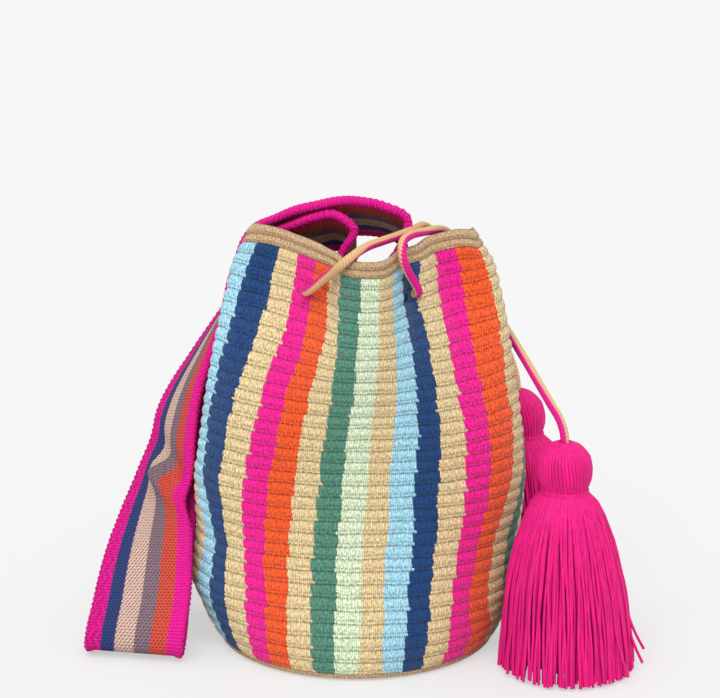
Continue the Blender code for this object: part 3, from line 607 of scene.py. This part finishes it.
# Strap: a thick warp-faced band woven on a loom from cotton, with rounded edges. Its ends are
# sewn in the mouth's back fold. It leaves that in an arch and is folded on the bag's left.
STRAP_WIDTH = 78.0
STRAP_THICKNESS = 3.6
STRAP_EDGE_THICKNESS = 7.0
STRAP_ROUTE = (
    ((14, -6, 284), (31, 70, 281)),
    ((16, -5, 297), (33, 71, 285)),
    ((25, -2, 317), (35, 70, 289)),
    ((28, -2, 330), (36, 67, 294)),
    ((14, -2, 341), (20, 64, 303)),
    ((-8, -2, 344), (-3, 64, 304)),
    ((-30, -1, 340), (-25, 65, 301)),
    ((-50, 4, 334), (-43, 70, 296)),
    ((-66, 13, 325), (-55, 82, 291)),
    ((-82, 24, 316), (-67, 96, 287)),
    ((-100, 30, 295), (-87, 102, 270)),
    ((-109, 27, 273), (-104, 101, 253)),
    ((-113, 23, 250), (-115, 97, 233)),
    ((-116, 20, 221), (-131, 94, 197)),
    ((-121, 10, 190), (-147, 80, 168)),
    ((-125, -3, 158), (-163, 62, 138)),
    ((-126, -11, 134), (-170, 49, 114)),
    ((-126, -21, 108), (-181, 33, 92)),
    ((-125, -35, 76), (-192, -1, 66)),
    ((-123, -47, 44), (-200, -31, 38)),
    ((-128, -61, 15), (-203, -47, 14)),
    ((-129, -55, 4), (-203, -41, 4)),
    ((-129, -44, 5), (-202, -28, 5)),
    ((-128, -34, 17), (-199, -13, 15)),
    ((-128, -22, 42), (-194, 7, 35)),
    ((-128, -6, 76), (-184, 33, 66)),
    ((-127, 11, 108), (-169, 65, 92)),
    ((-125, 20, 134), (-154, 87, 114)),
    ((-121, 26, 158), (-145, 95, 140)),
    ((-116, 31, 190), (-132, 103, 172)),
    ((-109, 36, 221), (-117, 109, 202)),
    ((-102, 35, 250), (-103, 109, 234)),
    ((-95, 36, 270), (-90, 109, 253)),
    ((-89, 37, 290), (-75, 107, 267)),
    ((-78, 32, 306), (-61, 100, 276)),
    ((-68, 20, 314), (-54, 88, 279)),
    ((-58, 10, 319), (-49, 77, 281)),
    ((-38, 1, 329), (-33, 66, 287)),
    ((-20, -4, 334), (-16, 62, 292)),
    ((-6, -6, 329), (-4, 61, 290)),
    ((-2, -7, 320), (-2, 61, 284)),
    ((-6, -7, 311), (-9, 62, 278)),
    ((-14, -5, 302), (-22, 66, 275)),
    ((-18.8, -3.55, 290.3), (-30.8, 68.45, 272.3)),
)
# shifts of the route at heights above the floor, in millimetres: the legs lean in behind the
# bag's shoulder, the fold lies further forward, and the arch comes down on a slant
LEGS_END = -60.0
LEG_RIGHT = ((200, 0), (250, 11), (290, 12), (315, 0))
LEG_FORWARD = ((0, 14), (20, 13), (120, 0))
LEG_DOWN = ((0, 0.3), (8, 0.3), (30, 0))
LOW_LEGS_END = -100.0
BLUE_LEFT = ((0, 4.5), (150, 4), (178, 8), (205, 0))
ORANGE_LEFT = ((0, 4), (40, 2), (80, 0))
ARCH_POINTS = 5
ARCH_RIGHT = ((284, 0), (297, 7), (317, 15), (331, 9), (341, -3))
ROUTE_STATIONS = 60
STATIONS = 480
# the section: where its thick edges start, and the selvedge's small waves
WEB_SHARE = 0.84
SELVEDGE_SHARE = 0.8
SELVEDGE_PITCH = 4.2
SELVEDGE_LIFT = 0.4
SELVEDGE_REACH = 0.5
# low on the front leg the band is pinched on a slant: the part above bulges over the part
# below, and the middle folds in
PINCH_HEIGHT = 126.0
PINCH_SLANT = 24.0
PINCH_DEPTH = 10.0
PINCH_LENGTH = 16.0
PINCH_NARROWING = 0.20
LEDGE_DEPTH = 14.0
LEDGE_LENGTH = 10.0


def shift_at(heights, shifts):
    """The shift at each height, from pairs of a height and a shift."""
    knots, values = zip(*shifts)
    return np.interp(heights, knots, values)


orange_side = np.array([pair[0] for pair in STRAP_ROUTE], float)
blue_side = np.array([pair[1] for pair in STRAP_ROUTE], float)
for edge in (orange_side, blue_side):
    leg = edge[:, 0] < LEGS_END
    edge[leg, 0] += shift_at(edge[leg, 2], LEG_RIGHT)
    edge[leg, 1] -= shift_at(edge[leg, 2], LEG_FORWARD)
    edge[leg, 2] -= shift_at(edge[leg, 2], LEG_DOWN)
for edge, shifts in ((blue_side, BLUE_LEFT), (orange_side, ORANGE_LEFT)):
    edge[:, 0] -= (edge[:, 0] < LOW_LEGS_END) * shift_at(edge[:, 2], shifts)
orange_side[:ARCH_POINTS, 0] += shift_at(orange_side[:ARCH_POINTS, 2], ARCH_RIGHT)
sides_run = running_length((orange_side + blue_side) / 2)
stations = np.linspace(0, sides_run[-1], ROUTE_STATIONS)
coarse_orange = smooth_curve(sides_run, orange_side, stations)
coarse_blue = smooth_curve(sides_run, blue_side, stations)
fine = np.linspace(0, sides_run[-1], STATIONS)
orange_edge = smooth_curve(stations, coarse_orange, fine)
blue_edge = smooth_curve(stations, coarse_blue, fine)
middle = (orange_edge + blue_edge) / 2
across = blue_edge - orange_edge
across /= np.linalg.norm(across, axis=1)[:, None]
along = np.gradient(middle, axis=0)
face = np.cross(along, across)
face /= np.linalg.norm(face, axis=1)[:, None]
# the section runs over one face from the orange side to the blue side and back on the other
half_section = []
for share in np.linspace(-1, 1, 33):
    beyond = max(0.0, (abs(share) - WEB_SHARE) / (1 - WEB_SHARE))
    edge_half = math.sqrt(max(0.0, 1 - (2 * beyond - 1) ** 2)) if beyond else 0.0
    thick = max(STRAP_THICKNESS / 2 if beyond < 0.5 else 0.0, STRAP_EDGE_THICKNESS / 2 * edge_half)
    half_section.append((share, thick))
section = half_section + [(share, -thick) for share, thick in half_section[-2:0:-1]] + [half_section[0]]
strap_run = running_length(middle)
front_leg = middle[:STATIONS // 2 + 1, 2]
pinch_row = np.argmin(np.abs(front_leg - PINCH_HEIGHT))
strap_places = np.zeros((len(section), STATIONS, 3))
strap_uvs = np.zeros((len(section), STATIONS, 2))
for column, (share, lift) in enumerate(section):
    below = strap_run - strap_run[pinch_row] + PINCH_SLANT * share
    pinch = np.exp(-(below / PINCH_LENGTH) ** 2)
    ledge = -LEDGE_DEPTH * below / LEDGE_LENGTH * np.exp(-(below / LEDGE_LENGTH) ** 2 / 2)
    ledge = ledge * math.exp(-((share + 0.1) / 0.6) ** 2)
    crease = PINCH_DEPTH * pinch * math.exp(-((share + 0.12) / 0.24) ** 2)
    reach = share * STRAP_WIDTH / 2 * (1 - PINCH_NARROWING * pinch)
    depth = lift - crease + ledge
    if abs(share) > SELVEDGE_SHARE:
        turn = 2 * math.pi * strap_run / SELVEDGE_PITCH
        depth = depth + np.sign(lift) * SELVEDGE_LIFT * np.sin(turn)
        reach = reach + np.sign(share) * SELVEDGE_REACH * np.sin(turn + 1)
    strap_places[column] = middle + across * reach[:, None] + face * depth[:, None]
    strap_uvs[column, :, 0] = (share + 1) / 2
    strap_uvs[column, :, 1] = strap_run
strap_shape = bmesh.new()
bent_grid(strap_shape, strap_places, strap_uvs)
bmesh.ops.holes_fill(strap_shape, edges=strap_shape.edges, sides=len(section) + 2)

# Warp-faced cotton weave: the warp makes the coloured bands, the weft shows as fine ribs.
RIB_PITCH = 2.3
BANDS = ((0.0, "#F4169A"), (0.165, "#E05543"), (0.335, "#897982"), (0.495, "#E6C6B2"),
         (0.690, "#32437C"), (0.831, "#F4169A"))
band = bpy.data.materials.new("warp_faced_cotton_band")
band.use_nodes = True
tree = band.node_tree
shader = tree.nodes["Principled BSDF"]
uv = add_node(tree, "ShaderNodeUVMap", uv_map="UVMap")
across_uv = add_node(tree, "ShaderNodeSeparateXYZ", uv)
along_uv = across_uv.node.outputs["Y"]
fuzz_place = add_node(tree, "ShaderNodeCombineXYZ",
                      add_node(tree, MATHS, across_uv, 70.0, operation="MULTIPLY"),
                      add_node(tree, MATHS, along_uv, 0.55, operation="MULTIPLY"))
fuzz = add_node(tree, "ShaderNodeTexNoise", noise_dimensions="2D",
                named={"Vector": fuzz_place, "Scale": 1.0, "Detail": 3.0, "Roughness": 0.6})
wander = add_node(tree, MATHS, fuzz, 0.012, -0.006, operation="MULTIPLY_ADD")
rib_turn = add_node(tree, MATHS, along_uv, 2 * math.pi / RIB_PITCH, operation="MULTIPLY")
rib_wave = add_node(tree, MATHS, rib_turn, operation="SINE")
wander = add_node(tree, MATHS, rib_wave, 0.006, wander, operation="MULTIPLY_ADD")
band_place = add_node(tree, MATHS, across_uv, wander, operation="ADD")
bands = add_node(tree, "ShaderNodeValToRGB", band_place, stops=BANDS, stepped=True)
# the weft crosses in fine ribs, with painted shade between them, and shows as small slanting dots in
# the pale warps, painted lighter and darker
warp_turn = add_node(tree, MATHS, across_uv, 2 * math.pi * 26, operation="MULTIPLY")
warp_turn = add_node(tree, MATHS, rib_turn, 0.5, warp_turn, operation="MULTIPLY_ADD")
warp_wave = add_node(tree, MATHS, warp_turn, operation="SINE")
dots = add_node(tree, MATHS, rib_wave, warp_wave, operation="MULTIPLY")
painted_rib_shade = add_node(tree, MATHS, rib_wave, 0.20, 0.84, operation="MULTIPLY_ADD")
pink_band = add_node(tree, MATHS, across_uv, 0.498, operation="SUBTRACT")
pink_band = add_node(tree, MATHS, pink_band, operation="ABSOLUTE")
pink_band = add_node(tree, MATHS, pink_band, 0.333, operation="GREATER_THAN")
dot_shade_depth = add_node(tree, MATHS, pink_band, -0.28, 0.42, operation="MULTIPLY_ADD")
painted_rib_shade = add_node(tree, MATHS, dots, dot_shade_depth, painted_rib_shade, operation="MULTIPLY_ADD")
mottle = add_node(tree, MATHS, fuzz, 1.1, 0.45, operation="MULTIPLY_ADD")
light = add_node(tree, MATHS, painted_rib_shade, mottle, operation="MULTIPLY")
# the blue side's pink band carries two raised zigzag chains
zigzag = add_node(tree, MATHS, along_uv, 7.0, operation="PINGPONG")
zigzag = add_node(tree, MATHS, zigzag, 0.007, across_uv, operation="MULTIPLY_ADD")
zigzag = add_node(tree, MATHS, zigzag, 2 * math.pi * 16, operation="MULTIPLY")
zigzag = add_node(tree, MATHS, zigzag, operation="SINE")
blue_band = add_node(tree, MATHS, across_uv, 0.835, operation="GREATER_THAN")
zigzag = add_node(tree, MATHS, zigzag, blue_band, operation="MULTIPLY")
chain_shade = add_node(tree, MATHS, zigzag, 0.20, 0.94, operation="MULTIPLY_ADD")
chain_shade = add_node(tree, MATHS, chain_shade, 1.0, operation="MINIMUM")
light = add_node(tree, MATHS, light, chain_shade, operation="MULTIPLY")
grey = add_node(tree, "ShaderNodeCombineColor", light, light, light)
# pink weft shows between the beige and grey warps
pale_warps = add_node(tree, MATHS, band_place, 0.5175, operation="SUBTRACT")
pale_warps = add_node(tree, MATHS, pale_warps, operation="ABSOLUTE")
pale_warps = add_node(tree, MATHS, pale_warps, 0.1825, operation="LESS_THAN")
weft_dot = add_node(tree, MATHS, dots, -0.30, operation="LESS_THAN")
weft_share = add_node(tree, MATHS, pale_warps, weft_dot, operation="MULTIPLY")
weft_share = add_node(tree, MATHS, weft_share, 0.60, operation="MULTIPLY")
with_weft = add_node(tree, "ShaderNodeMix", data_type="RGBA", out=2,
                     named={0: weft_share, 6: bands, 7: srgb("#A8486E")})
shaded = add_node(tree, "ShaderNodeMix", data_type="RGBA", blend_type="MULTIPLY", out=2,
                  named={0: 1.0, 6: with_weft, 7: grey})
tree.links.new(shaded, shader.inputs["Base Color"])
relief = add_node(tree, MATHS, zigzag, 0.8, light, operation="MULTIPLY_ADD")
bump = add_node(tree, "ShaderNodeBump", named={"Height": relief, "Strength": 0.9, "Distance": 0.0012})
tree.links.new(bump, shader.inputs["Normal"])
shader.inputs["Roughness"].default_value = 0.9
shader.inputs["Specular IOR Level"].default_value = 0.25
strap = finished("woven_strap", strap_shape, band)
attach(strap, "root")
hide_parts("strap")


# Sewing thread: pale pink cotton. A row of running stitches goes through each end of the
# strap, 10 mm from its cut edge, where it is sewn in the mouth's back fold.
THREAD_RADIUS = 0.5
SEAM_INSET = 10.0
thread_shape = bmesh.new()
near_end = int(np.searchsorted(strap_run, SEAM_INSET))
last_column = 2 * (len(half_section) - 1)
for row in (near_end, STATIONS - 1 - near_end):
    for first_column in range(3, 28, 3):
        front_columns = [first_column, first_column + 1, first_column + 2]
        back_columns = [last_column - column for column in front_columns]
        for outward, columns in ((1, front_columns), (-1, back_columns)):
            on_face = strap_places[columns, row]
            up = outward * face[row]
            stitch = [on_face[0] - 0.3 * up, on_face[0] + 0.4 * up, on_face[1] + 0.6 * up,
                      on_face[2] + 0.4 * up, on_face[2] - 0.3 * up]
            rings, _ = swept(stitch, 6, THREAD_RADIUS)
            bent_grid(thread_shape, rings, np.zeros((*rings.shape[:2], 2)))
thread_yarn = bpy.data.materials.new("pale_pink_sewing_thread")
thread_yarn.use_nodes = True
shader = thread_yarn.node_tree.nodes["Principled BSDF"]
shader.inputs["Base Color"].default_value = srgb("#E8B4BE")
shader.inputs["Roughness"].default_value = 0.7
thread = finished("sewing_thread", thread_shape, thread_yarn)
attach(thread, "root")


# Tassels: each is a bundle of pink cotton yarn, doubled over the cord's end and bound with
# more yarn below the round head. The ends are cut level and stand on the floor.
FRONT_SPREAD = 53.0
BACK_SPREAD = 42.0
HEAD_HEIGHT = 36.0
HEAD_YARNS = 46
HEAD_YARN = 2.9
SKIRT_YARN = 2.2
WRAP_YARN = 1.6
YARN_INSET = 1.3
WRAP_RADIUS = 17.2
# the skirt's layers from the outside in: share of its radius, and number of yarns
SKIRT_LAYERS = ((1.0, 112), (0.97, 108), (0.88, 80), (0.72, 60))
OUTER_LAYERS = 0.95
# a few ends stand away from the front tassel's right side: the way round in radians, and how
# many millimetres each one is short of the floor
STRAYS = {"front_tassel": ((-0.12, 12.0), (-0.30, 5.0), (-0.75, 3.0))}
pink_yarn = bpy.data.materials.new("pink_mercerised_yarn")
pink_yarn.use_nodes = True
tree = pink_yarn.node_tree
shader = tree.nodes["Principled BSDF"]
place = add_node(tree, "ShaderNodeTexCoord", out=3)
stretch = add_node(tree, "ShaderNodeMapping", place, named={"Scale": (520.0, 520.0, 22.0)})
fuzz = add_node(tree, "ShaderNodeTexNoise", named={"Vector": stretch, "Scale": 1.0, "Detail": 2.0})
tone = add_node(tree, "ShaderNodeValToRGB", fuzz, stops=((0.3, "#C4066C"), (0.65, "#E80A80")))
tree.links.new(tone, shader.inputs["Base Color"])
bump = add_node(tree, "ShaderNodeBump", named={"Height": fuzz, "Strength": 0.5, "Distance": 0.0005})
tree.links.new(bump, shader.inputs["Normal"])
shader.inputs["Roughness"].default_value = 0.7
shader.inputs["Specular IOR Level"].default_value = 0.35


def yarn_bundle(name, lines, thickness, sides=1, core=(), core_radii=()):
    """A curve object: one round yarn along each line of points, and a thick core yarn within."""
    curve = bpy.data.curves.new(name, "CURVE")
    curve.dimensions = "3D"
    curve.bevel_depth = thickness / 2 * MM
    curve.bevel_resolution = sides
    curve.use_fill_caps = True
    for line in lines:
        spline = curve.splines.new("POLY")
        spline.points.add(len(line) - 1)
        for spot, point in zip(spline.points, line):
            spot.co = (*(np.asarray(point) * MM), 1.0)
    if len(core):
        spline = curve.splines.new("POLY")
        spline.points.add(len(core) - 1)
        for spot, point, radius in zip(spline.points, core, core_radii):
            spot.co = (*(np.asarray(point) * MM), 1.0)
            spot.radius = radius / (thickness / 2)
    curve.materials.append(pink_yarn)
    piece = bpy.data.objects.new(name, curve)
    bpy.context.scene.collection.objects.link(piece)
    return piece


def profile_radius(down, drop, spread):
    """Radius of the head, the bound neck or the skirt, at a distance below the crown."""
    knots = [0.0, 1.0, 3.0, 6.0, 11.0, 18.0, 26.0, 32.0, HEAD_HEIGHT, HEAD_HEIGHT + 3, 44.0, 51.0,
             62.0, 0.45 * drop, 0.62 * drop, 0.80 * drop, 0.93 * drop, drop]
    radii = [3.4, 8.0, 12.5, 16.0, 19.4, 20.8, 20.4, 18.2, 16.2, 16.6, 24.0, 28.5,
             32.5, 0.73 * spread, 0.86 * spread, 0.93 * spread, 0.98 * spread, spread]
    return np.interp(down, knots, radii)


def tassel(name, crown, foot, spread, seed):
    """The head's and the skirt's yarns, and the binding round the neck."""
    chance = random.Random(seed)
    drop = crown[2] - foot[2]

    def spot(down, reach, turn):
        middle = crown + (foot - crown) * down / drop
        return middle + np.array([reach * math.cos(turn), reach * math.sin(turn), 0])

    head = []
    head_downs = (0.4, 1.4, 3, 5, 8, 11, 15, 19, 23, 27, 31, 34, HEAD_HEIGHT + 1.5)
    for number in range(HEAD_YARNS):
        turn = 2 * math.pi * number / HEAD_YARNS
        head.append([spot(down, profile_radius(down, drop, spread) - YARN_INSET, turn + 0.004 * down)
                     for down in head_downs])
    skirt = []
    for layer, count in SKIRT_LAYERS:
        for number in range(count):
            turn = 2 * math.pi * (number + chance.uniform(-0.3, 0.3)) / count
            sway = chance.gauss(0, 0.05)
            inset = layer * chance.uniform(0.965, 1.0)
            cut = drop - chance.uniform(0.8, 4.5)
            phase, wave = chance.uniform(0, 6.3), chance.uniform(0.3, 1.2)
            looseness = 20 * (inset - 0.98) if layer > OUTER_LAYERS else 0.0
            line = []
            for down in np.linspace(HEAD_HEIGHT + 1.0, cut, 15):
                share = (down - HEAD_HEIGHT) / (drop - HEAD_HEIGHT)
                reach = profile_radius(down, drop, spread) - YARN_INSET + looseness
                reach *= 1 - (1 - inset) * min(1, 4 * share)
                reach += 0.9 * wave * share * (math.sin(phase + 10 * share) - 1)
                turned = turn + sway * share + 0.022 * wave * math.sin(phase + 8 * share)
                line.append(spot(down, reach, turned))
            skirt.append(line)
    for turn, short_by in STRAYS.get(name, ()):
        skirt.append([spot(0.62 * drop + step * (0.36 * drop - short_by),
                           0.82 * spread + 15 * step ** 2, turn)
                      for step in np.linspace(0, 1, 7)])
    depths = np.linspace(2.5, HEAD_HEIGHT, 12)
    head_core = ([spot(down, 0, 0) for down in depths],
                 [max(1.0, profile_radius(down, drop, spread) - 2.6) for down in depths])
    depths = np.linspace(HEAD_HEIGHT - 1, drop - 9, 16)
    skirt_core = ([spot(down, 0, 0) for down in depths],
                  [0.80 * profile_radius(down, drop, spread) for down in depths])
    wraps = [[spot(HEAD_HEIGHT - 1.2 + 4.2 * step, WRAP_RADIUS, 8 * math.pi * step + 1.0)
              for step in np.linspace(0, 1, 97)]]
    return (yarn_bundle(name + "_head", head, HEAD_YARN, 1, *head_core),
            yarn_bundle(name + "_skirt", skirt, SKIRT_YARN, 1, *skirt_core),
            yarn_bundle(name + "_neck_wraps", wraps, WRAP_YARN, 2))


for name, crown, foot, spread, seed in (("front_tassel", FRONT_CROWN, FRONT_FOOT, FRONT_SPREAD, 3),
                                        ("back_tassel", BACK_CROWN, BACK_FOOT, BACK_SPREAD, 8)):
    head, skirt, wraps = tassel(name, crown, foot, spread, seed)
    for piece in (head, skirt, wraps):
        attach(piece, "root")
    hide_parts(name)
    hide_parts(name)
    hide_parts(name + "_binding")


# Floor: plain pale paper sweep. The camera sees the same pale grey everywhere, and the bag
# keeps its soft shadow on it.
floor_shape = bmesh.new()
bmesh.ops.create_grid(floor_shape, x_segments=1, y_segments=1, size=6.0)
paper = bpy.data.materials.new("matt_pale_paper")
paper.use_nodes = True
tree = paper.node_tree
shader = tree.nodes["Principled BSDF"]
shader.inputs["Base Color"].default_value = srgb("#DADADA")
shader.inputs["Roughness"].default_value = 1.0
shader.inputs["Specular IOR Level"].default_value = 0.0
plain_paper = add_node(tree, "ShaderNodeEmission", srgb("#F6F6F6"), 1.0)
seen = add_node(tree, "ShaderNodeLightPath")
seen_share = add_node(tree, MATHS, seen, 0.55, operation="MULTIPLY")
mixed = add_node(tree, "ShaderNodeMixShader", seen_share, shader.outputs["BSDF"], plain_paper)
tree.links.new(mixed, tree.nodes["Material Output"].inputs["Surface"])
floor = finished("floor", floor_shape, paper)
floor.location.z = -0.0005

# Light: an even white room, and one large soft lamp from the front, high on the left.
world = bpy.data.worlds.new("pale_room")
bpy.context.scene.world = world
world.use_nodes = True
tree = world.node_tree
background = tree.nodes["Background"]
background.inputs["Color"].default_value = (1.0, 1.0, 1.0, 1.0)
seen = add_node(tree, "ShaderNodeLightPath")
strength = add_node(tree, "ShaderNodeMix", data_type="FLOAT", named={0: seen, 2: 0.84, 3: 0.9216})
tree.links.new(strength, background.inputs["Strength"])
sun_data = bpy.data.lights.new("soft_lamp", "SUN")
sun_data.energy = 2.0
sun_data.angle = math.radians(50)
sun = bpy.data.objects.new("soft_lamp", sun_data)
bpy.context.scene.collection.objects.link(sun)
sun.rotation_euler = Euler((math.radians(38), 0, math.radians(-8)))

bpy.context.scene.view_settings.view_transform = "Standard"
